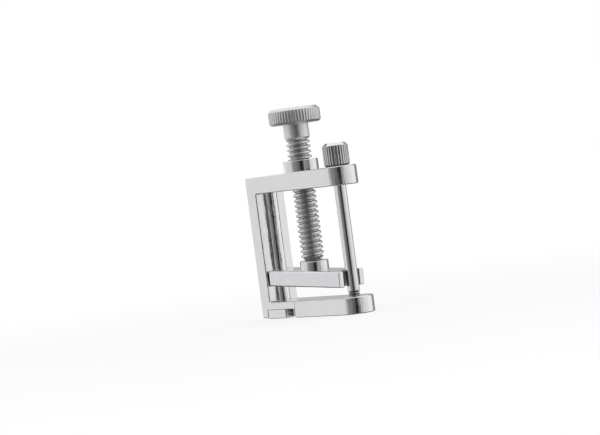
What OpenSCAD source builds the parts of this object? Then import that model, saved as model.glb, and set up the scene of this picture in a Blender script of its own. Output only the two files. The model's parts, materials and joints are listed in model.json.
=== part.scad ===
// Open-side screw pinch clamp for laboratory tubing.
// A C-shaped frame carries a thumb screw. The screw pushes a floating jaw down on
// a base bar. The base bar turns about a gate rod, so that tubing is laid in from
// the open side, and its hooked end then closes round a stud under the frame's foot.
// Axes: +X from the web towards the gate rod, +Y to the back, +Z up along the screw.
// The origin is on the standing surface, midway along the clamp and midway in depth.

/* [Frame] */
// Height of the C-frame, from its heel to the top of its arm
frame_h = 36.05; // [32:0.05:60]
// Depth of the frame and of the base bar, front to back
frame_depth = 9.2; // [8.6:0.1:14]
// Thickness of the frame's top arm at the web
arm_t = 4.3; // [3:0.1:7]
// Extra thickness of the arm at its gate end, where its underside lies lower
arm_taper = 0.45; // [0:0.05:1]
// Thickness of the upright web
web_t = 3.7; // [3:0.1:6]
// Clear length from the web's inner face to the axis of the gate rod
throat = 28.2; // [26:0.1:45]
// Radius of the half-round guide rib on the web
rib_r = 1.85; // [1.2:0.05:2.4]
// Height of the frame's heel above the standing surface
heel_lift = 0.25; // [0.1:0.05:0.6]
// Thickness of the heel at its front and back edges, where it closes the lap joint
heel_t = 2.3; // [1.7:0.1:2.8]
// Length of the half-lapped foot from the web's inner face
foot_l = 9.3; // [8:0.05:12]

/* [Thumb screw] */
// Outer diameter of the screw thread
thread_d = 6.1; // [4:0.05:6.3]
// Lift of the screw in one turn, which also sets the depth of its thread
thread_pitch = 1.27; // [0.7:0.01:1.6]
// Diameter of the plain shank under the knob
shank_d = 6.35; // [4.5:0.05:7.5]
// Length of the plain shank
shank_l = 4.05; // [2:0.05:8]
// Length of thread that stands clear between the bush and the shank
thread_clear = 5.1; // [4:0.1:12]
// Diameter of the knurled knob
knob_d = 13; // [9:0.1:20]
// Thickness of the knurled knob
knob_t = 4; // [2.2:0.1:6]
// Size of the knob's upper chamfer
knob_chamfer = 0.75; // [0.3:0.05:1.2]
// Size of the knob's lower chamfer
knob_under_chamfer = 0.5; // [0.2:0.1:1]

/* [Threaded bush] */
// Wall of the bush's spigot round the screw's thread
bush_wall = 0.7; // [0.5:0.05:1]
// Width of the bush's lip round its spigot
bush_lip = 0.7; // [0.4:0.025:1.5]
// Height of the bush above the arm
bush_h = 2.8; // [1.5:0.1:6]

/* [Jaw] */
// Clear height under the jaw, measured on the screw's axis
jaw_open = 3.2; // [2.8:0.05:8]
// Tilt at which the loose jaw stands, its gate end down
jaw_tilt = 3.3; // [0:0.1:4]
// Thickness of the jaw
jaw_t = 4.05; // [3.6:0.05:6]
// Inset of the jaw's front and back faces from the frame's
jaw_inset = 0.575; // [0.3:0.025:0.8]
// Radius on the jaw's long edges
jaw_edge_r = 0.5; // [0.2:0.05:0.6]
// Gap between the jaw and the web's inner face
jaw_end_gap = 0.55; // [0.4:0.05:1]
// Length of the prongs past the gate rod's axis
prong_over = 0.15; // [0:0.05:2]
// Clearance of the fork on each side of the gate rod
fork_clear = 0.9; // [0.5:0.05:1.1]
// Clearance of the jaw's notch round the guide rib
rib_clear = 0.55; // [0.4:0.05:0.8]

/* [Swivel] */
// Outer diameter of the swivel ring on the jaw
ring_d = 7.2; // [6.2:0.05:7.3]
// Height of the swivel ring
ring_h = 2.3; // [1.5:0.1:4]
// Diameter of the pin that passes through the jaw
tip_pin_d = 2.6; // [2:0.1:3.2]
// Width of the shoulder from the pin out to the screw's neck
neck_shoulder = 0.6; // [0.4:0.05:0.65]
// Width of the riveted head round the pin
head_over = 0.75; // [0.5:0.05:0.9]
// Thickness of the riveted head
tip_head_t = 0.7; // [0.5:0.05:0.9]
// Depth at which the riveted head lies inside the jaw's underside
head_sunk = 0.35; // [0.2:0.05:0.6]
// Width of the washer past the riveted head
washer_over = 0.15; // [0:0.05:0.3]
// Thickness of the washer
washer_t = 0.4; // [0.3:0.05:0.5]
// Play along the screw's axis, which lets the jaw rock
swivel_play = 0.2; // [0.15:0.05:0.3]

/* [Base bar] */
// Thickness of the base bar
base_t = 4.25; // [3.4:0.05:6]
// Thickness of the hooked tongue under the foot
tongue_t = 2.3; // [1.6:0.1:2.6]
// Vertical gap between the tongue and the foot
lap_gap = 0.05; // [0.03:0.01:0.3]
// Gap between the tongue's round end and the heel
tongue_end_gap = 0.1; // [0.05:0.05:0.6]
// Gap between the base bar's round shoulder and the end of the foot
shoulder_gap = 0.08; // [0.04:0.02:0.4]

/* [Latch stud] */
// Diameter of the stud under the foot
stud_d = 3.4; // [2.4:0.1:4.2]
// Clearance of the hook's curved slot on each side of the stud
hook_clear = 0.3; // [0.2:0.05:0.5]
// Distance of the stud in front of the middle of the foot
stud_forward = 0.8; // [0:0.1:1]
// Height of the stud's lower end above the standing surface
stud_lift = 0.35; // [0.3:0.05:1]

/* [Gate rod] */
// Diameter of the gate rod
rod_d = 3; // [2.4:0.05:3.6]
// Diameter of the gate rod's knurled knob
rod_knob_d = 6.4; // [5:0.1:8]
// Height of the gate rod's knurled knob
rod_knob_h = 5.75; // [3:0.05:9]
// Size of that knob's upper chamfer
rod_knob_chamfer = 0.75; // [0.3:0.05:1.2]
// Size of that knob's lower chamfer
rod_knob_under = 0.45; // [0.2:0.05:1]
// Height of the rod's lower end above the standing surface
rod_lift = 0.35; // [0.2:0.05:1]
// Running clearance of a shaft in its hole, on the radius
run_clear = 0.06; // [0.02:0.01:0.1]

/* [Hidden] */
$fn = 96;
// A cut runs this far past the faces that it opens
past = 1;
// Places along X
clamp_l = web_t + throat + frame_depth / 2;
web_x = -clamp_l / 2;
web_face_x = web_x + web_t;
rod_x = web_face_x + throat;
screw_x = web_face_x + throat / 2;
shoulder_r = throat - foot_l - shoulder_gap;
// The heel's inner face and the tongue's end are arcs about the gate rod
heel_r = norm([rod_x - web_x - heel_t, frame_depth / 2]);
tongue_r = heel_r - tongue_end_gap;
slot_w = stud_d + 2 * hook_clear;
stud_r = shoulder_r + slot_w / 2;
stud_x = rod_x - sqrt(pow(stud_r, 2) - pow(stud_forward, 2));
stud_y = -stud_forward;
// Places along Z
arm_top = heel_lift + frame_h;
arm_z = arm_top - arm_t;
arm_low = arm_z - arm_taper;
// Height of the arm's sloping underside at a place along X
function arm_under(x) = arm_z - arm_taper * (x - web_face_x) / (throat + frame_depth / 2);
foot_top = base_t;
foot_z = tongue_t + lap_gap;
swivel_z = base_t + jaw_open + jaw_t / 2;
jaw_top = swivel_z + jaw_t / 2;
jaw_under = swivel_z - jaw_t / 2;
neck_z = jaw_top + swivel_play;
thread_z = jaw_top + ring_h + 2 * swivel_play;
head_z = jaw_under + head_sunk;
washer_z = head_z + tip_head_t;
washer_top = washer_z + washer_t;
shank_z = arm_top + bush_h + thread_clear;
knob_z = shank_z + shank_l;
// Sizes of what fits together
bush_bore_r = thread_d / 2 + run_clear;
bush_spigot_d = thread_d + 2 * bush_wall;
bush_d = bush_spigot_d + 2 * bush_lip;
neck_d = tip_pin_d + 2 * neck_shoulder;
tip_head_d = tip_pin_d + 2 * head_over;
washer_d = tip_head_d + 2 * washer_over;
ring_bore_r = neck_d / 2 + 2 * swivel_play;
jaw_hole_r = tip_pin_d / 2 + swivel_play;
recess_r = washer_d / 2 + swivel_play;
recess_depth = washer_top + swivel_play - jaw_under;
rod_bore_r = rod_d / 2 + run_clear;
fork_w = rod_d + 2 * fork_clear;
rib_notch_r = rib_r + rib_clear;
jaw_depth = frame_depth - 2 * jaw_inset;
jaw_left = -throat / 2 + jaw_end_gap;
jaw_right = throat / 2 + prong_over;
// Depth of a sixty-degree thread as a share of its pitch
thread_depth = 0.6 * thread_pitch;
// Small bevels on turned ends
edge = 0.25;
shank_bevel = 0.5;
steel = [0.80, 0.81, 0.83];

// A bar from the web to the gate rod's axis, with a round end about that axis
module round_bar(x, z, t) {
    translate([x, -frame_depth / 2, z])
        cube([rod_x - x, frame_depth, t]);
    translate([rod_x, 0, z])
        cylinder(d = frame_depth, h = t);
}

// A turned disc with a chamfer at its lower and its upper edge
module chamfered_disc(r, h, low, high) {
    rotate_extrude()
        polygon([[0, 0], [r - low, 0], [r, low], [r, h - high], [r - high, h], [0, h]]);
}

// The C-frame: web, guide rib, top arm and half-lapped foot in one piece
module frame() {
    color(steel)
    difference() {
        union() {
            translate([web_x, -frame_depth / 2, heel_lift])
                cube([web_t, frame_depth, frame_h]);
            tapered_arm();
            foot();
            translate([web_face_x, 0, foot_top - edge])
                cylinder(r = rib_r, h = arm_z - foot_top + 2 * edge);
        }
        tongue_pocket();
        translate([screw_x, 0, arm_low - past])
            cylinder(d = bush_spigot_d, h = arm_top - arm_low + 2 * past);
        translate([rod_x, 0, arm_low - past])
            cylinder(r = rod_bore_r, h = arm_top - arm_low + 2 * past);
        translate([stud_x, stud_y, 0])
            cylinder(d = stud_d, h = foot_top + past);
    }
}

// The arm: its top is level, and its underside slopes down towards the gate
module tapered_arm() {
    end_x = rod_x + frame_depth / 2 + past;
    intersection() {
        round_bar(web_x, arm_low, arm_top - arm_low);
        translate([0, frame_depth / 2 + past, 0])
        rotate([90, 0, 0])
        linear_extrude(frame_depth + 2 * past)
            polygon([[web_x - past, arm_z], [web_face_x, arm_z], [end_x, arm_under(end_x)],
                     [end_x, arm_top + past], [web_x - past, arm_top + past]]);
    }
}

// The pocket for the tongue, open to the front, the back and below
module tongue_pocket() {
    intersection() {
        translate([web_x, -frame_depth / 2 - past, 0])
            cube([rod_x - web_x, frame_depth + 2 * past, foot_z]);
        translate([rod_x, 0, -past])
            cylinder(r = heel_r, h = foot_z + 2 * past);
    }
}

// The foot reaches from the web to the base bar's round shoulder
module foot() {
    difference() {
        translate([web_x, -frame_depth / 2, heel_lift])
            cube([rod_x - web_x, frame_depth, foot_top - heel_lift]);
        translate([rod_x, 0, -past])
            cylinder(r = shoulder_r + shoulder_gap, h = foot_top + 2 * past);
    }
}

// The bush that carries the screw's thread, pressed into the arm from above
module threaded_bush() {
    spigot_l = arm_top - arm_under(screw_x);
    color(steel)
    translate([screw_x, 0, arm_under(screw_x)])
    difference() {
        union() {
            cylinder(d = bush_spigot_d, h = spigot_l);
            translate([0, 0, spigot_l])
                chamfered_disc(bush_d / 2, bush_h, 0, edge);
        }
        translate([0, 0, -past])
            cylinder(r = bush_bore_r, h = spigot_l + bush_h + 2 * past);
    }
}

// The stud that the hook of the base bar closes on, riveted flush into the foot
module latch_stud() {
    color(steel)
    translate([stud_x, stud_y, stud_lift])
        chamfered_disc(stud_d / 2, foot_top - stud_lift, edge, 0);
}

// Knob, shank, thread, neck, swivel pin and riveted head, turned in one piece
module thumb_screw() {
    color(steel)
    translate([screw_x, 0, 0]) {
        translate([0, 0, head_z])
            cylinder(d = tip_head_d, h = tip_head_t);
        translate([0, 0, washer_z])
            cylinder(d = tip_pin_d, h = neck_z - washer_z);
        translate([0, 0, neck_z])
            cylinder(d = neck_d, h = thread_z - neck_z);
        translate([0, 0, thread_z])
            chamfered_disc(thread_d / 2, shank_z - thread_z, thread_depth, 0);
        translate([0, 0, shank_z])
            chamfered_disc(shank_d / 2, shank_l, shank_bevel, 0);
        translate([0, 0, knob_z])
            chamfered_disc(knob_d / 2, knob_t, knob_under_chamfer, knob_chamfer);
    }
}

// The washer between the riveted head and the floor of the jaw's recess
module tip_washer() {
    color(steel)
    translate([screw_x, 0, washer_z])
    difference() {
        cylinder(d = washer_d, h = washer_t);
        translate([0, 0, -past])
            cylinder(r = tip_pin_d / 2 + run_clear, h = washer_t + 2 * past);
    }
}

// Places what is drawn about the swivel's centre at the angle of the loose jaw
module on_swivel() {
    translate([screw_x, 0, swivel_z])
        rotate([0, jaw_tilt, 0])
            children();
}

// A bar along X, centred on the X axis, with its four long edges rounded
module rounded_bar(l, depth, t, r) {
    rotate([90, 0, 90])
    linear_extrude(l) {
        square([depth - 2 * r, t], center = true);
        square([depth, t - 2 * r], center = true);
        for (y = [-1, 1], z = [-1, 1])
            translate([y * (depth / 2 - r), z * (t / 2 - r)])
                circle(r);
    }
}

// The floating jaw: notched round the guide rib and forked round the gate rod
module jaw() {
    color(steel)
    on_swivel()
    difference() {
        translate([jaw_left, 0, 0])
            rounded_bar(jaw_right - jaw_left, jaw_depth, jaw_t, jaw_edge_r);
        translate([-throat / 2, 0, -jaw_t / 2 - past])
            cylinder(r = rib_notch_r, h = jaw_t + 2 * past);
        translate([throat / 2, 0, -jaw_t / 2 - past])
            cylinder(d = fork_w, h = jaw_t + 2 * past);
        translate([throat / 2, -fork_w / 2, -jaw_t / 2 - past])
            cube([prong_over + past, fork_w, jaw_t + 2 * past]);
        translate([0, 0, -jaw_t / 2 - past])
            cylinder(r = jaw_hole_r, h = jaw_t + 2 * past);
        translate([0, 0, -jaw_t / 2 - past])
            cylinder(r = recess_r, h = recess_depth + past);
    }
}

// The ring that shrouds the screw's neck, fixed to the top of the jaw
module swivel_ring() {
    color(steel)
    on_swivel()
    translate([0, 0, jaw_t / 2])
    difference() {
        chamfered_disc(ring_d / 2, ring_h, 0, edge);
        translate([0, 0, -past])
            cylinder(r = ring_bore_r, h = ring_h + 2 * past);
    }
}

// The base bar: full thickness up to its shoulder, then the hooked tongue
module base_bar() {
    color(steel)
    difference() {
        union() {
            intersection() {
                round_bar(web_x, 0, base_t);
                translate([rod_x, 0, 0])
                    cylinder(r = shoulder_r, h = base_t);
            }
            intersection() {
                round_bar(web_x, 0, tongue_t);
                translate([rod_x, 0, 0])
                    cylinder(r = tongue_r, h = tongue_t);
            }
        }
        hook_slot();
        translate([rod_x, 0, -past])
            cylinder(r = rod_bore_r, h = base_t + 2 * past);
    }
}

// A slot that curves about the gate rod, closed by a round end behind the stud
module hook_slot() {
    difference() {
        intersection() {
            translate([rod_x, 0, -past])
                cylinder(r = shoulder_r + slot_w, h = tongue_t + 2 * past);
            translate([web_x, -frame_depth / 2 - past, -past])
                cube([rod_x - web_x, frame_depth / 2 + past + stud_y, tongue_t + 2 * past]);
        }
        translate([rod_x, 0, -2 * past])
            cylinder(r = shoulder_r, h = tongue_t + 4 * past);
    }
    translate([stud_x, stud_y, -past])
        cylinder(d = slot_w, h = tongue_t + 2 * past);
}

// The gate rod and its knurled knob, turned in one piece
module gate_rod() {
    color(steel)
    translate([rod_x, 0, 0]) {
        translate([0, 0, rod_lift])
            chamfered_disc(rod_d / 2, arm_top - rod_lift, edge, 0);
        translate([0, 0, arm_top])
            chamfered_disc(rod_knob_d / 2, rod_knob_h, rod_knob_under, rod_knob_chamfer);
    }
}

frame();
threaded_bush();
latch_stud();
thumb_screw();
tip_washer();
jaw();
swivel_ring();
base_bar();
gate_rod();
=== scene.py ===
import json
import math

import bmesh
import bpy
from bpy.props import FloatProperty, FloatVectorProperty, IntProperty, PointerProperty
from mathutils import Matrix, Vector


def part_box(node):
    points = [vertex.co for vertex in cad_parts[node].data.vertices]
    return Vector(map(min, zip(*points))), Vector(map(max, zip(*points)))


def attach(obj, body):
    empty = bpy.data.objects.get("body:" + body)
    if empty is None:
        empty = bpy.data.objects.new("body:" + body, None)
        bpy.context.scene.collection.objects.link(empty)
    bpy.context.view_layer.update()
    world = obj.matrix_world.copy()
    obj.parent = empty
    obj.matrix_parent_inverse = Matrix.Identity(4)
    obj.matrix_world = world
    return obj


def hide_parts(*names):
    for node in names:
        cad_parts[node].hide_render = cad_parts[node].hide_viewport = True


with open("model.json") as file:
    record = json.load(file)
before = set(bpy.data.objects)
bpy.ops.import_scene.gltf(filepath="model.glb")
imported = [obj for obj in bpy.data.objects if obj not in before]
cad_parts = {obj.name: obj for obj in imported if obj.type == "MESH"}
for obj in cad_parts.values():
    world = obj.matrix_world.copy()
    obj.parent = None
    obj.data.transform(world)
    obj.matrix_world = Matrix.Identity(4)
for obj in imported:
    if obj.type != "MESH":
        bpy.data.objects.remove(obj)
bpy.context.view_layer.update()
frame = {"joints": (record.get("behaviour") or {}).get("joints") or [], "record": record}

bl_info = {
    "name": "Tubing Pinch Clamp",
    "version": (1, 0, 0),
    "blender": (4, 5, 0),
    "location": "View3D > Sidebar > Pinch Clamp",
    "description": "Builds a plated screw pinch clamp round its packed frame, with studio light and camera",
    "category": "Add Mesh",
}

# Pieces are drawn in millimetres and scaled to metres at the end
MM = 0.001
# Edges sharper than these angles, in degrees, stay sharp in the shading
FLAT_CREASE = 50
TURNED_CREASE = 40
KNURLED_CREASE = 38
TURN = 2 * math.pi


# ---------------------------------------------------------------- places taken from the frame


def corners(node):
    """The lowest and highest corner of a CAD node, in millimetres."""
    return [[round(v / MM, 4) for v in corner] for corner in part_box(node)]


def joint_place(name):
    """The point that a joint turns about, in millimetres."""
    joint = next(j for j in frame["joints"] if j["name"] == name)
    return [round(v / MM, 4) for v in joint["pos_m"]]


def slot_colour(name):
    """The base colour of one of the record's material slots."""
    row = next(m for m in frame["record"]["materials"] if m["slot"] == name)
    return tuple(row["base_color"])


def length(name, description, millimetres):
    """A length property whose default is given in millimetres."""
    return FloatProperty(
        name=name, description=description, default=millimetres * MM, unit="LENGTH", precision=5
    )


def in_degrees(name, description, degrees):
    """An angle property whose default is given in degrees."""
    return FloatProperty(
        name=name, description=description, default=math.radians(degrees), unit="ROTATION"
    )


def swatch(name, description, default):
    """A colour property."""
    return FloatVectorProperty(
        name=name, description=description, default=default, subtype="COLOR", size=3
    )


def share(name, description, default):
    """A factor property, such as a roughness."""
    return FloatProperty(name=name, description=description, default=default, subtype="FACTOR")


def mm(value):
    """A length property's value in millimetres, free of single-precision noise."""
    return round(value / MM, 4)


# ---------------------------------------------------------------- properties


class ClampSizes(bpy.types.PropertyGroup):
    """Sizes that the frame's boxes and joints don't give."""

    arm: length("Arm thickness", "Thickness of the C-frame's top arm at the web", 4.3)
    arm_taper: length("Arm taper", "Extra thickness of the arm at its gate end", 0.45)
    web: length("Web thickness", "Thickness of the C-frame's upright web", 3.7)
    heel_gap: length("Heel gap", "Gap between the heel and the tongue's round end", 0.04)
    rib: length("Rib radius", "Radius of the half-round guide rib", 1.85)
    tongue: length("Tongue thickness", "Thickness of the base bar's hooked tongue", 2.3)
    lap_gap: length("Lap gap", "Gap between the tongue and the foot", 0.05)
    shoulder: length("Shoulder radius", "Radius of the base bar's shoulder about the gate rod", 18.82)
    shoulder_gap: length("Shoulder gap", "Gap between the shoulder and the foot", 0.08)
    hook_clear: length("Hook clearance", "Clearance of the hook's slot on each side of the stud", 0.3)
    edge: length("Edge break", "Width of the rounding on the flat parts' outer edges", 0.3)
    fine_edge: length("Fine edge break", "Width of the rounding at the lap joint and the holes", 0.05)
    run_clear: length("Running clearance", "Clearance of a shaft in its hole, on the radius", 0.06)
    jaw_thickness: length("Jaw thickness", "Thickness of the floating jaw", 4.05)
    jaw_inset: length("Jaw inset", "Inset of the jaw's faces from the frame's", 0.575)
    jaw_end_gap: length("Jaw end gap", "Gap between the jaw and the web", 0.3)
    prong_over: length("Prong length", "Length of the prongs past the gate rod's axis", -0.1)
    fork_clear: length("Fork clearance", "Clearance of the fork on each side of the rod", 0.9)
    rib_clear: length("Notch clearance", "Clearance of the jaw's notch round the rib", 0.55)
    jaw_edge: length("Jaw edge", "Radius of the rounding on the jaw's long edges", 0.5)
    jaw_end_edge: length("Jaw end edge", "Width of the rounding on the jaw's other edges", 0.25)
    mouth: length("Mouth corner", "Radius of the corners at the mouth of the fork", 0.4)
    jaw_tilt: in_degrees("Jaw tilt", "Angle at which the loose jaw stands, its gate end down", 3.3)
    play: length("Swivel play", "Play of the swivel along the screw's axis", 0.2)
    pin: length("Pin radius", "Radius of the pin through the jaw", 1.3)
    neck: length("Neck radius", "Radius of the screw's neck", 1.9)
    rivet: length("Rivet radius", "Radius of the riveted head", 2.05)
    thread: length("Thread radius", "Radius of the screw's thread", 3.05)
    worn_thread: length("Worn thread radius", "Radius of the thread's rubbed crests below the arm", 2.86)
    thread_depth: length("Thread depth", "Depth of the screw's thread", 0.76)
    pitch: length("Thread pitch", "Lift of the screw in one turn", 1.27)
    shank: length("Shank radius", "Radius of the plain shank", 3.175)
    shank_length: length("Shank length", "Length of the plain shank", 4.05)
    shank_bevel: length("Shank bevel", "Bevel at the lower end of the shank", 0.5)
    ring: length("Ring radius", "Outer radius of the swivel ring", 3.6)
    ring_height: length("Ring height", "Height of the swivel ring", 2.3)
    knob: length("Knob thickness", "Thickness of the screw's knob", 4.0)
    knob_top: length("Knob top chamfer", "Chamfer on the knob's upper edge", 0.75)
    knob_under: length("Knob under chamfer", "Chamfer on the knob's lower edge", 0.5)
    knurl_depth: length("Knurl depth", "Depth of the knurls' grooves", 0.16)
    knob_ridges: IntProperty(
        name="Knob ridges", description="Ridges round the screw's knob", default=52, min=12
    )
    rod: length("Rod radius", "Radius of the gate rod", 1.5)
    rod_pitch: length("Rod thread pitch", "Pitch of the gate rod's thread", 0.64)
    rod_thread_depth: length("Rod thread depth", "Depth of the gate rod's thread", 0.34)
    rod_thread_over: length("Rod thread over", "Length of thread that shows above the base bar", 1.4)
    rod_top: length("Rod knob top chamfer", "Chamfer on the rod knob's upper edge", 0.75)
    rod_under: length("Rod knob under chamfer", "Chamfer on the rod knob's lower edge", 0.45)
    rod_ridges: IntProperty(
        name="Rod knob ridges", description="Ridges round the gate rod's knob", default=28, min=12
    )


class ClampFinishes(bpy.types.PropertyGroup):
    """Colours and polish of the plated parts."""

    plate: swatch(
        "Plate colour", "Colour of the plate on the flat parts", slot_colour("frame_plating")
    )
    jaw: swatch("Jaw colour", "Colour of the plate on the jaw", slot_colour("jaw_plating"))
    turned: swatch("Turned colour", "Colour of the turned parts", slot_colour("rod_plating"))
    screw: swatch("Screw colour", "Colour of the thumb screw", slot_colour("screw_plating"))
    polish: share("Flat roughness", "Roughness of the polished flats", 0.09)
    turned_polish: share("Turned roughness", "Roughness of the turned parts", 0.10)
    screw_polish: share("Screw roughness", "Roughness of the thumb screw", 0.36)


class ClampStage(bpy.types.PropertyGroup):
    """The camera and the studio round the clamp."""

    azimuth: in_degrees("Azimuth", "Camera azimuth, from -Y towards +X", 51.0)
    elevation: in_degrees("Elevation", "Camera elevation", 1.359)
    roll: in_degrees("Roll", "Turn of the camera about its line of sight", 7.547)
    distance: length("Distance", "Camera distance from its target", 500.8)
    lens: FloatProperty(name="Lens", description="Focal length", default=120.44, unit="CAMERA")
    shift: FloatVectorProperty(
        name="Shift", description="Lens shift", default=(-0.02431, 0.0161), size=2
    )
    backdrop: swatch("Backdrop", "Colour of the floor and backdrop", (0.95, 0.95, 0.95))


# ---------------------------------------------------------------- shader maths


class Wire:
    """A socket of a node tree, on which arithmetic adds Math nodes."""

    def __init__(self, tree, socket):
        self.tree = tree
        self.socket = socket

    def math(self, operation, *terms):
        return self.tree.node(
            "ShaderNodeMath", {"operation": operation}, dict(enumerate((self, *terms)))
        )

    def __add__(self, other):
        return self.math("ADD", other)

    __radd__ = __add__

    def __mul__(self, other):
        return self.math("MULTIPLY", other)

    __rmul__ = __mul__

    def __sub__(self, other):
        return self.math("SUBTRACT", other)

    def __rsub__(self, other):
        return self.tree.node("ShaderNodeMath", {"operation": "SUBTRACT"}, {0: other, 1: self})

    def above(self, other):
        return self.math("GREATER_THAN", other)

    def rise(self, low, high):
        """0 at low and 1 at high, smooth between."""
        return self.tree.node(
            "ShaderNodeMapRange",
            {"interpolation_type": "SMOOTHSTEP"},
            {"Value": self, "From Min": low, "From Max": high},
        )


class Tree:
    """The node tree of a material or world, with one method that adds nodes to it."""

    def __init__(self, owner):
        owner.use_nodes = True
        self.nodes = owner.node_tree.nodes
        self.links = owner.node_tree.links
        self.nodes.clear()

    def node(self, kind, settings=None, inputs=None, output=0):
        made = self.nodes.new(kind)
        for name, value in (settings or {}).items():
            if name == "stops":
                self.stops(made.color_ramp, value)
            else:
                setattr(made, name, value)
        for name, value in (inputs or {}).items():
            if isinstance(value, Wire):
                self.links.new(value.socket, made.inputs[name])
            else:
                made.inputs[name].default_value = value
        if not made.outputs:
            return None
        return Wire(self, made.outputs[output])

    @staticmethod
    def stops(ramp, stops):
        """Gives a ramp its stops, each a position and a grey level."""
        for _ in stops[2:]:
            ramp.elements.new(0.5)
        for element, (position, level) in zip(ramp.elements, stops):
            element.position = position
            element.color = (level, level, level, 1)

    def mix(self, factor, first, second):
        """A blend of two colours."""
        return self.node(
            "ShaderNodeMix",
            {"data_type": "RGBA"},
            {0: factor, 6: opaque(first), 7: opaque(second)},
            output=2,
        )

    def noise(self, vector, scale, detail=2.0):
        return self.node(
            "ShaderNodeTexNoise", None, {"Vector": vector, "Scale": scale, "Detail": detail}
        )

    def place(self, centre=(0, 0, 0), stretch=(1, 1, 1)):
        """The piece's own coordinates in millimetres, less a centre, and stretched."""
        metres = self.node("ShaderNodeTexCoord", output=3)
        scale = tuple(s / MM for s in stretch)
        moved = self.node(
            "ShaderNodeVectorMath",
            {"operation": "SUBTRACT"},
            {0: metres, 1: tuple(c * MM for c in centre)},
        )
        return self.node("ShaderNodeVectorMath", {"operation": "MULTIPLY"}, {0: moved, 1: scale})

    def parts(self, vector):
        """The three components of a vector."""
        split = self.node("ShaderNodeSeparateXYZ", None, {0: vector})
        return [Wire(self, output) for output in split.socket.node.outputs]

    def metal(self, colour, roughness, height, depth):
        """Ends the tree in a metal whose colour, roughness and relief vary. Depth is in millimetres."""
        relief = self.node("ShaderNodeBump", None, {"Height": height, "Distance": depth * MM})
        shader = self.node(
            "ShaderNodeBsdfPrincipled",
            None,
            {"Base Color": colour, "Roughness": roughness, "Metallic": 1.0, "Normal": relief},
        )
        self.node("ShaderNodeOutputMaterial", None, {"Surface": shader})


def opaque(colour):
    """A colour of three numbers with an alpha of 1; a wire stays as it is."""
    return colour if isinstance(colour, Wire) else (*colour[:3], 1)


def shade(colour, factor):
    """A colour of three numbers made darker or lighter."""
    return tuple(min(1.0, c * factor) for c in colour[:3])


def new_tree(name):
    """A new material and its empty node tree."""
    material = bpy.data.materials.new(name)
    return material, Tree(material)


def polished_plate(name, colour, roughness, rough_hole_painted_shade=None):
    """Nickel plate polished along the length of a flat part, with faint clouds and hairlines,
    and upright streaks where it isn't flat. A rough hole is a place and a radius inside which
    the metal is rougher and darkened with painted shade."""
    material, tree = new_tree(name)
    clouds = tree.noise(tree.place(), 0.28, 4.0)
    streaks = tree.noise(tree.place(stretch=(2.2, 2.2, 0.35)), 1.0, 3.0)
    hairlines = tree.noise(tree.place(stretch=(0.35, 5.0, 5.0)), 1.6, 6.0)
    grain = tree.noise(tree.place(), 7.0, 3.0)
    tint = tree.mix(clouds, shade(colour, 0.95), shade(colour, 1.04))
    polish = roughness * (0.7 + 0.4 * clouds + 0.3 * hairlines)
    if rough_hole_painted_shade:
        centre, radius = rough_hole_painted_shade
        x, y, _ = tree.parts(tree.place((*centre[:2], 0)))
        inside = 1.0 - (x * x + y * y).math("SQRT").rise(radius, radius + 0.25)
        # painted shade: the metal inside the hole is darkened towards a fifth of its colour
        tint = tree.mix(inside * (0.6 + 0.4 * grain), tint, shade(colour, 0.2))
        polish = polish + 0.3 * inside
    along, across, upward = tree.parts(tree.node("ShaderNodeTexCoord", output=1))
    curved = (1.0 - (across * across).rise(0.9, 0.98)) * (1.0 - (0.0 - along).rise(0.7, 0.95))
    curved = curved * (1.0 - (upward * upward).rise(0.1, 0.4))
    relief = hairlines + 0.3 * grain + curved * streaks * 45.0
    tree.metal(tint, polish, relief, 0.0016)
    return material


def turned_plate(name, colour, roughness, centre, relief):
    """Plate over fine tool marks that run round the axis of a turned part."""
    material, tree = new_tree(name)
    clouds = tree.noise(tree.place(), 0.5, 3.0)
    marks = tree.noise(tree.place(centre, (0.12, 0.12, 7.0)), 1.0, 5.0)
    tint = tree.mix(clouds, shade(colour, 0.93), shade(colour, 1.03))
    polish = roughness * (0.7 + 0.3 * clouds + 0.5 * marks)
    tree.metal(tint, polish, marks, relief)
    return material


def grooved_plate(name, colour, roughness, centre, bands, relief):
    """Turned plate whose grooves are darkened with painted shade and dirt. Each band is a low
    and a high place along the axis, the radius of its ridges, the depth and the darkness of
    its grooves, its extra roughness and its painted shade, which darkens the whole band."""
    material, tree = new_tree(name)
    place = tree.place(centre)
    x, y, z = tree.parts(place)
    radius = (x * x + y * y).math("SQRT")
    clouds = tree.noise(place, 0.6, 4.0)
    marks = tree.noise(tree.place(centre, (0.12, 0.12, 7.0)), 1.0, 5.0)
    groove, dark, matt, painted_shade = 0.0, 0.0, 0.0, 0.0
    for low, high, ridge, deep, band_root_shade_and_dirt, band_matt, band_painted_shade in bands:
        inside = z.above(low) - z.above(high)
        fall = inside * (ridge - radius).rise(0.0, deep)
        groove = fall + groove
        dark = fall * band_root_shade_and_dirt + dark
        matt = inside * band_matt + matt
        painted_shade = inside * band_painted_shade + painted_shade
    tint = tree.mix(clouds, shade(colour, 0.92), shade(colour, 1.03))
    # painted shade: whole bands darkened where the part lies in shade
    tint = tree.mix(painted_shade, tint, shade(colour, 0.4))
    # groove roots darkened with painted shade and dirt
    tint = tree.mix(dark * (0.4 + 0.8 * clouds), tint, shade(colour, 0.15))
    polish = roughness * (0.75 + 0.3 * clouds + 0.4 * marks) + 0.12 * groove + matt
    tree.metal(tint, polish, marks + 0.5 * clouds, relief)
    return material


# ---------------------------------------------------------------- mesh tools


def piece_of(name, bm):
    """A new object, still in millimetres, from a bmesh."""
    bmesh.ops.remove_doubles(bm, verts=bm.verts, dist=1e-4)
    bmesh.ops.recalc_face_normals(bm, faces=bm.faces)
    mesh = bpy.data.meshes.new(name)
    bm.to_mesh(mesh)
    bm.free()
    piece = bpy.data.objects.new(name, mesh)
    bpy.context.scene.collection.objects.link(piece)
    return piece


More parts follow.
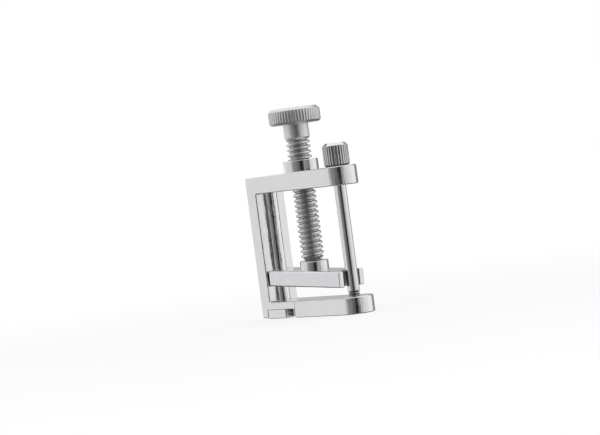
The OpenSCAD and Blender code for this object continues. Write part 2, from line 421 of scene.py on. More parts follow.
def settle(piece):
    """Turns a piece's modifiers into mesh."""
    bpy.context.view_layer.update()
    shown = piece.evaluated_get(bpy.context.evaluated_depsgraph_get())
    made = bpy.data.meshes.new_from_object(shown)
    piece.modifiers.clear()
    old = piece.data
    piece.data = made
    bpy.data.meshes.remove(old)


def arc(centre, radius, start, end, steps):
    """Points on an arc about a centre, angles in radians, both ends included."""
    angles = [start + (end - start) * i / steps for i in range(steps + 1)]
    return [
        (centre[0] + radius * math.cos(a), centre[1] + radius * math.sin(a)) for a in angles
    ]


def disc(centre, radius, start=0.0, steps=192):
    """The outline of a circle whose first point is at the start angle."""
    return arc(centre, radius, start, start + TURN, steps)[:-1]


def prism(name, outline, low, high, upright=False):
    """An outline in X and Y drawn along Z, or if upright an outline in X and Z drawn along Y."""
    bm = bmesh.new()
    ends = []
    for level in (low, high):
        points = [(u, level, v) if upright else (u, v, level) for u, v in outline]
        ends.append([bm.verts.new(p) for p in points])
    for end in ends:
        bm.faces.new(end)
    for i in range(len(outline)):
        bm.faces.new((ends[0][i - 1], ends[0][i], ends[1][i], ends[1][i - 1]))
    return piece_of(name, bm)


def combine(piece, tool, operation):
    """Cuts, joins or intersects a piece with a tool, which is used up."""
    modifier = piece.modifiers.new(operation.lower(), "BOOLEAN")
    modifier.object = tool
    modifier.operation = operation
    modifier.solver = "EXACT"
    settle(piece)
    bpy.data.objects.remove(tool)


def break_edges(piece, width, segments, slide=True):
    """Rounds every edge that isn't part of a curved face. Slide keeps the ends of a rounding on
    the edges beside it."""
    bevel = piece.modifiers.new("edges", "BEVEL")
    bevel.width = width
    bevel.segments = segments
    bevel.limit_method = "ANGLE"
    bevel.angle_limit = math.radians(35)
    bevel.use_clamp_overlap = False
    bevel.loop_slide = slide
    settle(piece)


def finish_piece(piece, node, body, material, crease):
    """Scales a piece to metres, smooths it up to a crease angle and puts it on its body."""
    mesh = piece.data
    mesh.transform(Matrix.Scale(MM, 4))
    mesh.polygons.foreach_set("use_smooth", [True] * len(mesh.polygons))
    mesh.set_sharp_from_angle(angle=math.radians(crease))
    weights = piece.modifiers.new("normals", "WEIGHTED_NORMAL")
    weights.keep_sharp = True
    settle(piece)
    piece.data.materials.clear()
    piece.data.materials.append(material)
    piece.data.name = piece.name
    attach(piece, body)
    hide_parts(node)


def rounded(corner_list, closed=False):
    """An outline of (radius, height) points from (radius, height, rounding) corners."""
    count = len(corner_list)
    points = []
    for i, (r, z, rounding) in enumerate(corner_list):
        end = not closed and i in (0, count - 1)
        if not rounding or end:
            points.append((r, z))
            continue
        here = Vector((r, z))
        back = Vector(corner_list[i - 1][:2]) - here
        ahead = Vector(corner_list[(i + 1) % count][:2]) - here
        half = back.angle(ahead) / 2
        reach = rounding / math.tan(half)
        start = here + back.normalized() * reach
        stop = here + ahead.normalized() * reach
        centre = here + (back.normalized() + ahead.normalized()).normalized() * (
            rounding / math.sin(half)
        )
        steps = 4
        for k in range(steps + 1):
            ray = (start - centre).lerp(stop - centre, k / steps).normalized() * rounding
            points.append(tuple(centre + ray))
    return points


def ring(bm, centre, columns, radius, height):
    """One ring of vertices. Radius and height are numbers or functions of the turn, 0 to 1."""
    made = []
    for i in range(columns):
        turn = i / columns
        z = height(turn) if callable(height) else height
        r = radius(turn, z) if callable(radius) else radius
        angle = turn * TURN
        made.append(
            bm.verts.new((centre[0] + r * math.cos(angle), centre[1] + r * math.sin(angle), z))
        )
    return made


def pole(bm, centre, height):
    """One vertex on the axis, as a list, so that it joins like a ring."""
    return [bm.verts.new((centre[0], centre[1], height))]


def stitch(bm, first, second):
    """Joins two rings, or a ring and a pole. One ring may have a multiple of the other's
    vertices, as long as the multiple is odd."""
    if len(first) > len(second):
        first, second = second, first
    few, many = len(first), len(second)
    if few == 1:
        for i in range(many):
            bm.faces.new((first[0], second[i - 1], second[i]))
        return
    times = many // few
    half = times // 2
    for i in range(few):
        for k in range(-half, half):
            bm.faces.new((first[i], second[i * times + k], second[(i * times + k + 1) % many]))
        near = second[(i * times + half) % many]
        far = second[((i + 1) * times - half) % many]
        bm.faces.new((first[i], near, far, first[(i + 1) % few]))


def turned(name, centre, columns, outline, closed=False):
    """A body turned from an outline of (radius, height) points, which starts and ends on the
    axis, or is closed for a ring."""
    bm = bmesh.new()
    rings = [
        pole(bm, centre, z) if r == 0 else ring(bm, centre, columns, r, z) for r, z in outline
    ]
    for i in range(0 if closed else 1, len(rings)):
        stitch(bm, rings[i - 1], rings[i])
    return piece_of(name, bm)


def thread_between(bm, centre, columns, low, high, pitch, rows, radius):
    """Draws a right-hand thread between two heights and returns its lowest and highest ring.
    Radius is a function of the place within the pitch, 0 to 1, and the height. Each turn's
    last column joins the first column of the turn above."""

    def lifted(j):
        return lambda turn: min(high, max(low, low + pitch * (j / rows + turn)))

    def here(turn, z):
        return radius(((z - low) / pitch - turn) % 1.0, z)

    last = math.ceil((high - low) / pitch * rows)
    turns = [ring(bm, centre, columns, here, lifted(j)) for j in range(-rows, last + 1)]
    for j in range(1, len(turns)):
        above = [turns[min(k + rows, len(turns) - 1)][0] for k in (j - 1, j)]
        first, second = [*turns[j - 1], above[0]], [*turns[j], above[1]]
        for i in range(columns):
            around = dict.fromkeys((first[i], first[i + 1], second[i + 1], second[i]))
            if len(around) > 2:
                bm.faces.new(list(around))
    return turns[0], turns[-1]


def smaller(a, b, blend):
    """The smaller of two numbers, with a smooth change from one to the other."""
    h = max(0.0, min(1.0, 0.5 + 0.5 * (b - a) / blend))
    return b * (1 - h) + a * h - blend * h * (1 - h)


def thread_radius(crest, depth, place):
    """The radius of a sixty-degree thread with its crest at place 0."""
    crest_flat, root_flat = 0.15, 0.12
    away = min(place, 1 - place)
    fall = (away - crest_flat) / (0.5 - crest_flat - root_flat)
    return crest - depth * max(0.0, min(1.0, fall))


def ridge_radius(radius, depth, ridges, turn):
    """The radius of a straight knurl with a V-shaped groove on each side of a ridge."""
    place = (turn * ridges) % 1.0
    flank_curve = 1.3
    return radius - depth * abs(2 * place - 1) ** flank_curve


# Columns of vertices on each ridge of a knurl, and on each ridge's share of a plain stretch
KNURL_STEPS = 6
PLAIN_STEPS = 2


def knurled_rings(bm, centre, ridges, radius, depth, low, high, under, over):
    """Rings of a knurled knob between two heights, with a chamfer under and over."""
    columns = ridges * KNURL_STEPS
    levels = [low + t * under for t in (0.0, 0.5, 0.75, 1.0)]
    levels += [high - t * over for t in (1.0, 0.8, 0.6, 0.0)]

    def reach(turn, z):
        chamfered = min(radius, radius - under + (z - low), radius - over + (high - z))
        return min(chamfered, ridge_radius(radius, depth, ridges, turn))

    return [ring(bm, centre, columns, reach, z) for z in levels]


def chain(bm, rings):
    """Joins each ring to the next."""
    for i in range(1, len(rings)):
        stitch(bm, rings[i - 1], rings[i])


# ---------------------------------------------------------------- the flat parts


def build_frame(sizes, finishes):
    """The C-frame: web, guide rib, arm and half-lapped foot."""
    (x0, _, heel), (x1, half, top) = corners("frame")
    rod = joint_place("base_swing")
    foot_top = corners("base_bar")[1][2]
    web_face = x0 + mm(sizes.web)
    arm_under = top - mm(sizes.arm)
    heel_radius = rod[0] - corners("base_bar")[0][0] + mm(sizes.heel_gap)
    lap = mm(sizes.tongue) + mm(sizes.lap_gap)
    shoulder = mm(sizes.shoulder) + mm(sizes.shoulder_gap)
    foot_end = rod[0] - shoulder + half
    past = 2.0
    taper = mm(sizes.arm_taper) * (x1 + past - web_face) / (x1 - web_face)
    inner = mm(sizes.edge)
    side = rounded(
        [
            (x0, heel, 0),
            (foot_end, heel, 0),
            (foot_end, foot_top, 0),
            (web_face, foot_top, inner),
            (web_face, arm_under, inner),
            (x1 + past, arm_under - taper, 0),
            (x1 + past, top, 0),
            (x0, top, 0),
        ],
        closed=True,
    )
    plan = [(x0 - past, -half), *arc(rod[:2], half, -TURN / 4, TURN / 4, steps=96), (x0 - past, half)]
    piece = prism("c_frame", side, -half - past, half + past, upright=True)
    combine(piece, prism("plan", plan, heel - past, top + past), "INTERSECT")
    break_edges(piece, mm(sizes.edge), segments=3)
    foot_cut = prism("foot_cut", disc(rod[:2], shoulder), heel - past, foot_top + past)
    combine(piece, foot_cut, "DIFFERENCE")
    combine(piece, prism("pocket", disc(rod[:2], heel_radius), heel - past, lap), "DIFFERENCE")
    bite = 0.3
    half_round = disc((web_face, 0.0), mm(sizes.rib), steps=96)
    combine(piece, prism("rib", half_round, foot_top - bite, arm_under + bite), "UNION")
    screw = joint_place("screw_turn")
    bush_seat = prism("seat", disc(screw[:2], spigot_radius(sizes)), arm_under - past, top + past)
    combine(piece, bush_seat, "DIFFERENCE")
    rod_hole = disc(rod[:2], mm(sizes.rod) + mm(sizes.run_clear), steps=96)
    combine(piece, prism("hole", rod_hole, arm_under - past, top + past), "DIFFERENCE")
    break_edges(piece, mm(sizes.fine_edge), segments=2, slide=False)
    stud_hole = disc(*stud_circle(), steps=64)
    combine(piece, prism("hole", stud_hole, lap - past, foot_top + past), "DIFFERENCE")
    material = polished_plate("frame_plate", finishes.plate, finishes.polish)
    finish_piece(piece, "frame", "frame", material, FLAT_CREASE)


def stud_circle():
    """The centre and the radius of the latch stud."""
    (x0, y0, _), (x1, y1, _) = corners("latch_stud")
    return ((x0 + x1) / 2, (y0 + y1) / 2), (x1 - x0) / 2


def spigot_radius(sizes):
    """The radius of the bush's spigot, which has a wall round the thread."""
    spigot_wall = 0.7
    return mm(sizes.thread) + spigot_wall


def build_base(sizes, finishes):
    """The base bar: full thickness up to its round shoulder, then the hooked tongue."""
    (x0, _, low), (_, half, top) = corners("base_bar")
    rod = joint_place("base_swing")
    past = 2.0
    shoulder = mm(sizes.shoulder)
    tongue = mm(sizes.tongue)
    stud, _ = stud_circle()
    at_stud = math.atan2(stud[1] - rod[1], stud[0] - rod[0]) % TURN
    reach = rod[0] - x0
    swing = math.asin(half / reach)
    plan = [
        *arc(rod[:2], half, -TURN / 4, TURN / 4, steps=96),
        *arc(rod[:2], reach, TURN / 2 - swing, TURN / 2 + swing, steps=16),
    ]
    piece = prism("hooked_base", plan, low, top)
    break_edges(piece, mm(sizes.edge), segments=3)
    wide = half + past
    over = [(x0 - past, -wide), (rod[0], -wide), (rod[0], wide), (x0 - past, wide)]
    step = prism("step", over, tongue, top + past)
    drum = prism("drum", disc(rod[:2], shoulder, at_stud), low - past, top + 2 * past)
    combine(step, drum, "DIFFERENCE")
    combine(piece, step, "DIFFERENCE")
    slot = hook_slot(rod, at_stud, half + past, low - past, tongue + past / 2, sizes)
    combine(piece, slot, "DIFFERENCE")
    rod_hole = disc(rod[:2], mm(sizes.rod) + mm(sizes.run_clear), steps=96)
    combine(piece, prism("hole", rod_hole, low - past, top + past), "DIFFERENCE")
    break_edges(piece, mm(sizes.fine_edge), segments=2)
    material = polished_plate("base_plate", finishes.plate, finishes.polish)
    finish_piece(piece, "base_bar", "base", material, FLAT_CREASE)


def hook_slot(rod, at_stud, front, low, high, sizes):
    """The tool for the slot that curves about the gate rod and ends round behind the stud."""
    stud, stud_radius = stud_circle()
    width = 2 * (stud_radius + mm(sizes.hook_clear))
    inner = mm(sizes.shoulder)
    outer = inner + width
    steps = 192
    one = TURN / steps
    reach = math.ceil((math.asin(front / inner) + TURN / 2 - at_stud) / one) + 1
    inner_side = arc(rod[:2], inner, at_stud + reach * one, at_stud, reach)
    outer_side = arc(rod[:2], outer, at_stud, at_stud + reach * one, reach)
    end = arc(stud, width / 2, at_stud + TURN / 2, at_stud, steps=32)[1:-1]
    return prism("slot", [*inner_side, *end, *outer_side], low, high)


def build_jaw(sizes, finishes):
    """The floating jaw: notched round the guide rib and forked round the gate rod."""
    screw = joint_place("screw_turn")
    pivot = joint_place("jaw_rock")
    rod = joint_place("base_swing")
    reach = rod[0] - screw[0]
    half = corners("frame")[1][1] - mm(sizes.jaw_inset)
    thick = mm(sizes.jaw_thickness) / 2
    notch = mm(sizes.rib) + mm(sizes.rib_clear)
    fork = mm(sizes.rod) + mm(sizes.fork_clear)
    left = -reach + mm(sizes.jaw_end_gap)
    right = reach + mm(sizes.prong_over)
    open_angle = math.acos(mm(sizes.jaw_end_gap) / notch)
    mouth = mm(sizes.mouth)
    skip = math.asin((reach - right + mouth) / (fork + mouth))
    lip = (fork + mouth) * math.cos(skip)
    plan = [
        (left, -half),
        (right, -half),
        *arc((right - mouth, -lip), mouth, 0, TURN / 4 - skip, steps=4),
        *arc((reach, 0), fork, -TURN / 4 - skip, -3 * TURN / 4 + skip, steps=48)[1:-1],
        *arc((right - mouth, lip), mouth, skip - TURN / 4, 0, steps=4),
        (right, half),
        (left, half),
        *arc((-reach, 0), notch, open_angle, -open_angle, steps=36),
    ]
    past = 1.0
    long_edge = mm(sizes.jaw_edge)
    box = ((-half, -thick), (half, -thick), (half, thick), (-half, thick))
    section = rounded([(y, z, long_edge) for y, z in box], closed=True)
    piece = prism("floating_jaw", section, left - past, right + past)
    along_x = Matrix(((0, 0, 1, 0), (1, 0, 0, 0), (0, 1, 0, 0), (0, 0, 0, 1)))
    piece.data.transform(along_x)
    combine(piece, prism("plan", plan, -thick - past, thick + past), "INTERSECT")
    break_edges(piece, mm(sizes.jaw_end_edge), segments=3)
    pin_hole = disc((0, 0), mm(sizes.pin) + mm(sizes.play), steps=64)
    combine(piece, prism("hole", pin_hole, -thick - past, thick + past), "DIFFERENCE")
    (wx0, _, _), (wx1, _, washer_top) = corners("tip_washer")
    recess_top = washer_top + mm(sizes.play) - pivot[2]
    recess = disc((0, 0), (wx1 - wx0) / 2 + mm(sizes.play), steps=96)
    combine(piece, prism("recess", recess, -thick - past, recess_top), "DIFFERENCE")
    piece.data.transform(Matrix.Rotation(sizes.jaw_tilt, 4, "Y"))
    piece.data.transform(Matrix.Translation(pivot))
    # The fork's inside and a thin rim round it are rougher and darkened with painted shade
    rim = 0.1
    material = polished_plate("jaw_plate", finishes.jaw, finishes.polish, (rod, fork + rim))
    finish_piece(piece, "jaw", "jaw", material, FLAT_CREASE)


# ---------------------------------------------------------------- the turned parts


def build_bush(sizes, finishes):
    """The bush that carries the screw's thread, with a spigot in the arm."""
    (x0, _, low), (x1, _, top) = corners("threaded_bush")
    screw = joint_place("screw_turn")
    seat = corners("frame")[1][2]
    bore = mm(sizes.thread) + mm(sizes.run_clear)
    spigot = spigot_radius(sizes)
    outer = (x1 - x0) / 2
    lead = 0.3
    outline = [
        (bore + lead, low, 0),
        (spigot, low, 0),
        (spigot, seat, 0),
        (outer, seat, 0),
        (outer, top, 0.18),
        (bore + lead, top, 0.08),
        (bore, top - lead, 0),
        (bore, low + lead, 0),
    ]
    piece = turned("screw_bush", screw[:2], 144, rounded(outline, closed=True), closed=True)
    material = turned_plate(
        "bush_plate", finishes.turned, finishes.turned_polish, screw, relief=0.004
    )
    finish_piece(piece, "threaded_bush", "frame", material, TURNED_CREASE)


def build_ring(sizes, finishes):
    """The ring on top of the jaw that shrouds the screw's neck."""
    pivot = joint_place("jaw_rock")
    bore = mm(sizes.neck) + 2 * mm(sizes.play)
    outer = mm(sizes.ring)
    height = mm(sizes.ring_height)
    base = mm(sizes.jaw_thickness) / 2
    outline = [
        (bore, base, 0),
        (outer, base, 0),
        (outer, base + height, 0.22),
        (bore, base + height, 0.12),
    ]
    piece = turned("neck_ring", (0, 0), 128, rounded(outline, closed=True), closed=True)
    piece.data.transform(Matrix.Rotation(sizes.jaw_tilt, 4, "Y"))
    piece.data.transform(Matrix.Translation(pivot))
    material = turned_plate(
        "ring_plate", finishes.turned, finishes.turned_polish, pivot, relief=0.004
    )
    finish_piece(piece, "swivel_ring", "jaw", material, TURNED_CREASE)


def build_stud(sizes, finishes):
    """The stud that the hook closes on."""
    (_, _, low), (_, _, top) = corners("latch_stud")
    centre, radius = stud_circle()
    outline = [(0, low, 0), (radius, low, 0.22), (radius, top, 0.05), (0, top, 0)]
    piece = turned("hook_stud", centre, 96, rounded(outline))
    steel = slot_colour("stud_steel")
    material = turned_plate(
        "stud_plate", steel, finishes.turned_polish, (*centre, low), relief=0.004
    )
    finish_piece(piece, "latch_stud", "frame", material, TURNED_CREASE)


def build_washer(sizes, finishes):
    """The washer between the riveted head and the jaw."""
    (x0, _, low), (x1, _, top) = corners("tip_washer")
    screw = joint_place("screw_turn")
    bore = mm(sizes.pin) + mm(sizes.run_clear)
    outline = [
        (bore, low, 0.04),
        ((x1 - x0) / 2, low, 0.08),
        ((x1 - x0) / 2, top, 0.08),
        (bore, top, 0.04),
    ]
    piece = turned("rivet_washer", screw[:2], 96, rounded(outline, closed=True), closed=True)
    steel = slot_colour("washer_steel")
    material = turned_plate("washer_plate", steel, finishes.screw_polish, screw, relief=0.006)
    finish_piece(piece, "tip_washer", "swivel", material, TURNED_CREASE)


def build_screw(sizes, finishes):
    """The thumb screw: rivet, pin, neck, thread, shank and knurled knob in one piece."""
    (x0, _, bottom), (x1, _, top) = corners("thumb_screw")
    washer_low = corners("tip_washer")[0][2]
    screw = joint_place("screw_turn")
    pivot = joint_place("jaw_rock")
    arm_top = corners("frame")[1][2]
    knob_radius = (x1 - x0) / 2
    knob_low = top - mm(sizes.knob)
    shank_low = knob_low - mm(sizes.shank_length)
    neck_low = pivot[2] + mm(sizes.jaw_thickness) / 2 + mm(sizes.play)
    thread_low = neck_low + mm(sizes.play) + mm(sizes.ring_height)
    columns = sizes.knob_ridges * PLAIN_STEPS
    crest, depth = mm(sizes.thread), mm(sizes.thread_depth)
    worn = mm(sizes.worn_thread)
    worn_blend, fresh_blend = 0.16, 0.04
    arm_under = arm_top - mm(sizes.arm)
    bush_top = corners("threaded_bush")[1][2]

    def thread(place, z):
        full = thread_radius(crest, depth, place)
        fresh = max(0.0, min(1.0, (z - arm_under) / (arm_top - arm_under)))
        limit = worn + (crest - worn) * fresh
        blend = worn_blend + (fresh_blend - worn_blend) * fresh
        lead = crest - depth + (z - thread_low)
        return min(lead, smaller(full, limit, blend))

    bm = bmesh.new()
    centre = screw[:2]
    lower = rounded(
        [
            (0, bottom, 0),
            (mm(sizes.rivet), bottom, 0.25),
            (mm(sizes.rivet), washer_low, 0),
            (mm(sizes.pin), washer_low, 0),
            (mm(sizes.pin), neck_low, 0),
            (mm(sizes.neck), neck_low, 0),
            (mm(sizes.neck), thread_low, 0),
        ]
    )
    fillet = 0.12
    shank = rounded(
        [
            (mm(sizes.shank) - mm(sizes.shank_bevel), shank_low, 0),
            (mm(sizes.shank), shank_low + mm(sizes.shank_bevel), 0.2),
            (mm(sizes.shank), knob_low - fillet, 0),
            (mm(sizes.shank) + fillet, knob_low, 0),
        ]
    )
    rings = [pole(bm, centre, lower[0][1])]
    rings += [ring(bm, centre, columns, r, z) for r, z in lower[1:]]
    thread_start, thread_end = thread_between(
        bm, centre, columns, thread_low, shank_low, mm(sizes.pitch), rows=12, radius=thread
    )
    chain(bm, [*rings, thread_start])
    rings = [thread_end]
    rings += [ring(bm, centre, columns, r, z) for r, z in shank]
    rings += knurled_rings(
        bm,
        centre,
        sizes.knob_ridges,
        knob_radius,
        mm(sizes.knurl_depth),
        knob_low,
        top,
        mm(sizes.knob_under),
        mm(sizes.knob_top),
    )
    rings.append(pole(bm, centre, top))
    chain(bm, rings)
    piece = piece_of("thumb_screw_turned", bm)
    bands = [
        # painted shade on the neck and the thread's lowest turn, just above the ring
        (neck_low, thread_low + 0.5, crest, depth, 0.0, 0.1, 0.75),
        # painted shade on the thread at the mouth of the bush
        (bush_top, bush_top + 0.4, crest, depth, 0.0, 0.0, 0.6),
        # the thread, its roots darkened with painted shade and dirt
        (thread_low + 0.5, shank_low, crest - 0.4 * depth, 0.6 * depth, 0.35, -0.08, 0.0),
        # the knob, its knurl grooves darkened with painted shade and dirt
        (knob_low, top - mm(sizes.knob_top), knob_radius, 0.13, 0.45, -0.08, 0.0),
    ]
    material = grooved_plate(
        "screw_plate", finishes.screw, finishes.screw_polish, (*centre, 0), bands, relief=0.006
    )
    finish_piece(piece, "thumb_screw", "screw", material, KNURLED_CREASE)


def build_rod(sizes, finishes):
    """The gate rod with its thread in the base bar and its knurled knob."""
    (x0, _, bottom), (x1, _, top) = corners("gate_rod")
    rod = joint_place("base_swing")
    knob_radius = (x1 - x0) / 2
    arm_top = corners("frame")[1][2]
    base_top = corners("base_bar")[1][2]
    columns = sizes.rod_ridges * PLAIN_STEPS
    radius = mm(sizes.rod)
    bevel = 0.25
    depth = mm(sizes.rod_thread_depth)
    thread_top = base_top + mm(sizes.rod_thread_over)
    runout = 1.2

    def thread(place, z):
        return max(thread_radius(radius, depth, place), radius - (thread_top - z) * runout)

    bm = bmesh.new()
    centre = rod[:2]
    end = ring(bm, centre, columns, radius - depth, bottom)
    thread_start, thread_end = thread_between(
        bm,
        centre,
        columns,
        bottom + bevel,
        thread_top,
        mm(sizes.rod_pitch),
        rows=10,
        radius=thread,
    )
    chain(bm, [pole(bm, centre, bottom), end, thread_start])
    rings = [
        thread_end,
        ring(bm, centre, columns, radius, thread_top),
        ring(bm, centre, columns, radius, arm_top),
    ]
    finer = 0.8
    rings += knurled_rings(
        bm,
        centre,
        sizes.rod_ridges,
        knob_radius,
        mm(sizes.knurl_depth) * finer,
        arm_top,
        top,
        mm(sizes.rod_under),
        mm(sizes.rod_top),
    )
    rings.append(pole(bm, centre, top))
    chain(bm, rings)
    piece = piece_of("gate_rod_turned", bm)
    bands = [
        # the thread by the base bar: painted shade over it, and painted shade and dirt in its roots
        (bottom, thread_top, radius, depth, 1.0, 0.1, 0.5),
        # painted shade on the knob's under chamfer, over the arm
        (arm_top, arm_top + mm(sizes.rod_under), knob_radius, 1.0, 0.0, 0.1, 0.5),
        # the knob: a little painted shade all over, and painted shade and dirt in its grooves
        (arm_top, top - mm(sizes.rod_top), knob_radius, 0.1, 1.0, 0.13, 0.08),
    ]
    material = grooved_plate(
        "rod_plate", finishes.turned, finishes.turned_polish, (*centre, 0), bands, relief=0.002
    )
    finish_piece(piece, "gate_rod", "gate_rod", material, KNURLED_CREASE)


# ---------------------------------------------------------------- the stage


def build_camera(stage):
    """A long lens from the gate side, turned a little about its line of sight."""
    azimuth, elevation, roll = stage.azimuth, stage.elevation, stage.roll
    target = Vector((1.75, 0.0, 22.0)) * MM
    back = Vector(
        (
            math.sin(azimuth) * math.cos(elevation),
            -math.cos(azimuth) * math.cos(elevation),
            math.sin(elevation),
        )
    )
    right = Vector((math.cos(azimuth), math.sin(azimuth), 0))
    up = back.cross(right)
    across = math.cos(roll) * right - math.sin(roll) * up
    along = math.sin(roll) * right + math.cos(roll) * up
    data = bpy.data.cameras.new("camera")
    data.lens = stage.lens
    data.sensor_width = 36.0
    data.shift_x, data.shift_y = stage.shift
    data.clip_start, data.clip_end = 0.01, 20.0
    camera = bpy.data.objects.new("camera", data)
    place = Matrix((across, along, back)).transposed().to_4x4()
    place.translation = target + back * stage.distance
    camera.matrix_world = place
    bpy.context.scene.collection.objects.link(camera)
    bpy.context.scene.camera = camera


# The studio's light round the horizon: degrees to the right of the camera, and its strength
STUDIO = [
    (-180, 0.95),
    (-135, 1.0),
    (-105, 0.8),
    (-68, 0.76),
    (-52, 0.3),
    (-34, 0.24),
    (-8, 0.12),
    (-2, 0.02),
    (14, 0.02),
    (21, 0.25),
    (34, 0.55),
    (52, 0.75),
    (80, 0.87),
    (96, 1.0),
    (116, 1.0),
    (124, 0.6),
    (132, 0.22),
    (180, 0.22),
]


def build_light(stage):
    """A pale studio: light panels on both sides and above, and a dark gap at the camera. The
    camera itself sees it as white."""
    world = bpy.data.worlds.new("studio")
    bpy.context.scene.world = world
    tree = Tree(world)
    ray = tree.node("ShaderNodeTexCoord")
    azimuth = stage.azimuth
    forward = (math.sin(azimuth), -math.cos(azimuth), 0)
    sideways = (math.cos(azimuth), math.sin(azimuth), 0)
    ahead = tree.node("ShaderNodeVectorMath", {"operation": "DOT_PRODUCT"}, {0: ray, 1: forward}, 1)
    aside = tree.node("ShaderNodeVectorMath", {"operation": "DOT_PRODUCT"}, {0: ray, 1: sideways}, 1)
    turn = aside.math("ARCTAN2", ahead) * (1 / TURN) + 0.5
    stops = [(degrees / 360 + 0.5, level) for degrees, level in STUDIO]
    horizon = tree.node("ShaderNodeValToRGB", {"stops": stops}, {0: turn})
    _, _, rise = tree.parts(ray)
    overhead = rise.rise(0.45, 0.75)
    below = (0.0 - rise).rise(0.3, 0.65)
    skyline = rise.rise(0.01, 0.04) * (1.0 - rise.rise(0.2, 0.35)) * (0.0 - ahead).rise(0.5, 0.8)
    sky = tree.mix(overhead, horizon, (1.05, 1.05, 1.05))
    sky = tree.mix(skyline, sky, (0.5, 0.5, 0.5))
    sky = tree.mix(below, sky, (0.2, 0.2, 0.2))
    seen = tree.node("ShaderNodeLightPath")
    colour = tree.mix(seen, sky, (1.0, 1.0, 1.0))
    shader = tree.node("ShaderNodeBackground", None, {"Color": colour, "Strength": 1.0})
    tree.node("ShaderNodeOutputWorld", None, {"Surface": shader})


def build_floor(stage):
    """A pale floor that keeps the clamp's shadow, fades into the backdrop and is clear from
    below. It lies a hair under the clamp."""
    reach, drop = 300.0, 0.02
    fade_start, fade_end = 60.0, 200.0
    bm = bmesh.new()
    bmesh.ops.create_circle(bm, cap_ends=True, segments=96, radius=reach * MM)
    bmesh.ops.translate(bm, verts=bm.verts, vec=(0, 0, -drop * MM))
    mesh = bpy.data.meshes.new("floor")
    bm.to_mesh(mesh)
    bm.free()
    floor = bpy.data.objects.new("floor", mesh)
    bpy.context.scene.collection.objects.link(floor)
    material, tree = new_tree("floor_paper")
    x, y, _ = tree.parts(tree.place())
    radius = (x * x + y * y).math("SQRT")
    grain = tree.noise(tree.place(), 0.8, 3.0)
    paper = tree.mix(grain, shade(stage.backdrop, 0.99), stage.backdrop)
    lit = tree.node("ShaderNodeBsdfDiffuse", None, {"Color": paper})
    white = tree.node("ShaderNodeEmission", None, {"Color": (1, 1, 1, 1), "Strength": 1.0})
    clear = tree.node("ShaderNodeBsdfTransparent", None, {"Color": (1, 1, 1, 1)})
    rays = tree.node("ShaderNodeLightPath").socket.node.outputs
    camera, glossy = Wire(tree, rays["Is Camera Ray"]), Wire(tree, rays["Is Glossy Ray"])
    fade = camera * (0.78 + 0.22 * radius.rise(fade_start, fade_end))
    shown = tree.node("ShaderNodeMixShader", None, {0: fade, 1: lit, 2: white})
    shown = tree.node("ShaderNodeMixShader", None, {0: glossy, 1: shown, 2: clear})
    behind = Wire(tree, tree.node("ShaderNodeNewGeometry").socket.node.outputs["Backfacing"])
    shown = tree.node("ShaderNodeMixShader", None, {0: behind, 1: shown, 2: clear})
    tree.node("ShaderNodeOutputMaterial", None, {"Surface": shown})
    mesh.materials.append(material)


def build_stage(stage):
    """Camera, light and floor, with plain colour handling."""
    build_camera(stage)
    build_light(stage)
    build_floor(stage)
    bpy.context.scene.view_settings.view_transform = "Standard"


# ---------------------------------------------------------------- operators and panel


class PieceOperator:
    """What the operators that build one piece have in common."""

    bl_options = {"REGISTER", "UNDO"}

    def execute(self, context):
        type(self).build(context.scene.clamp_sizes, context.scene.clamp_finishes)
        return {"FINISHED"}


class CLAMP_OT_frame(PieceOperator, bpy.types.Operator):
    """Build the C-frame with its guide rib"""

    bl_idname = "clamp.frame"
    bl_label = "C-frame"
    build = staticmethod(build_frame)


class CLAMP_OT_bush(PieceOperator, bpy.types.Operator):
    """Build the threaded bush on the arm"""

    bl_idname = "clamp.bush"
    bl_label = "Threaded bush"
    build = staticmethod(build_bush)


class CLAMP_OT_stud(PieceOperator, bpy.types.Operator):
    """Build the stud under the foot"""

    bl_idname = "clamp.stud"
    bl_label = "Latch stud"
    build = staticmethod(build_stud)


class CLAMP_OT_screw(PieceOperator, bpy.types.Operator):
    """Build the thumb screw with its thread and knurled knob"""

    bl_idname = "clamp.screw"
    bl_label = "Thumb screw"
    build = staticmethod(build_screw)


class CLAMP_OT_washer(PieceOperator, bpy.types.Operator):
    """Build the washer inside the jaw"""

    bl_idname = "clamp.washer"
    bl_label = "Tip washer"
    build = staticmethod(build_washer)


class CLAMP_OT_jaw(PieceOperator, bpy.types.Operator):
    """Build the floating jaw"""

    bl_idname = "clamp.jaw"
    bl_label = "Jaw"
    build = staticmethod(build_jaw)


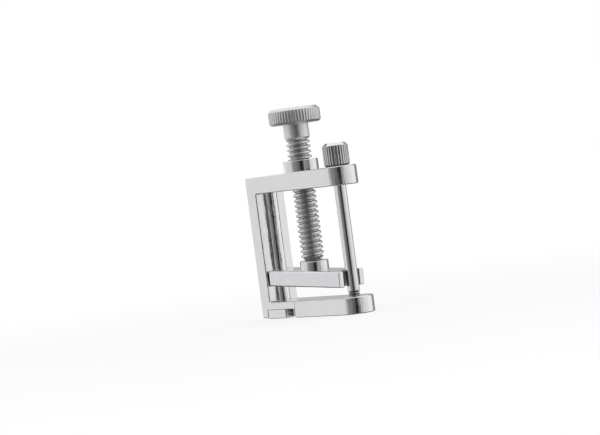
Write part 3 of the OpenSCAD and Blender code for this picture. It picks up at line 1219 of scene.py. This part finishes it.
class CLAMP_OT_ring(PieceOperator, bpy.types.Operator):
    """Build the swivel ring on the jaw"""

    bl_idname = "clamp.ring"
    bl_label = "Swivel ring"
    build = staticmethod(build_ring)


class CLAMP_OT_base(PieceOperator, bpy.types.Operator):
    """Build the base bar with its hooked tongue"""

    bl_idname = "clamp.base"
    bl_label = "Base bar"
    build = staticmethod(build_base)


class CLAMP_OT_rod(PieceOperator, bpy.types.Operator):
    """Build the gate rod with its knurled knob"""

    bl_idname = "clamp.rod"
    bl_label = "Gate rod"
    build = staticmethod(build_rod)


class CLAMP_OT_stage(bpy.types.Operator):
    """Set up the camera, the studio light and the floor"""

    bl_idname = "clamp.stage"
    bl_label = "Stage"
    bl_options = {"REGISTER", "UNDO"}

    def execute(self, context):
        build_stage(context.scene.clamp_stage)
        return {"FINISHED"}


OPERATORS = (
    CLAMP_OT_stage,
    CLAMP_OT_frame,
    CLAMP_OT_bush,
    CLAMP_OT_stud,
    CLAMP_OT_screw,
    CLAMP_OT_washer,
    CLAMP_OT_jaw,
    CLAMP_OT_ring,
    CLAMP_OT_base,
    CLAMP_OT_rod,
)


class CLAMP_PT_panel(bpy.types.Panel):
    """Lists the clamp's pieces and its stage"""

    bl_label = "Pinch Clamp"
    bl_idname = "CLAMP_PT_panel"
    bl_space_type = "VIEW_3D"
    bl_region_type = "UI"
    bl_category = "Pinch Clamp"

    def draw(self, context):
        for operator in OPERATORS:
            self.layout.operator(operator.bl_idname)


GROUPS = {
    "clamp_sizes": ClampSizes,
    "clamp_finishes": ClampFinishes,
    "clamp_stage": ClampStage,
}


def register():
    for group in (*GROUPS.values(), *OPERATORS, CLAMP_PT_panel):
        bpy.utils.register_class(group)
    for name, group in GROUPS.items():
        setattr(bpy.types.Scene, name, PointerProperty(type=group))


def unregister():
    for name in GROUPS:
        delattr(bpy.types.Scene, name)
    for group in reversed((*GROUPS.values(), *OPERATORS, CLAMP_PT_panel)):
        bpy.utils.unregister_class(group)


def main():
    """Registers the add-on and builds the stage and every piece."""
    register()
    for operator in OPERATORS:
        getattr(bpy.ops.clamp, operator.bl_idname.split(".")[1])()


if __name__ == "__main__":
    main()
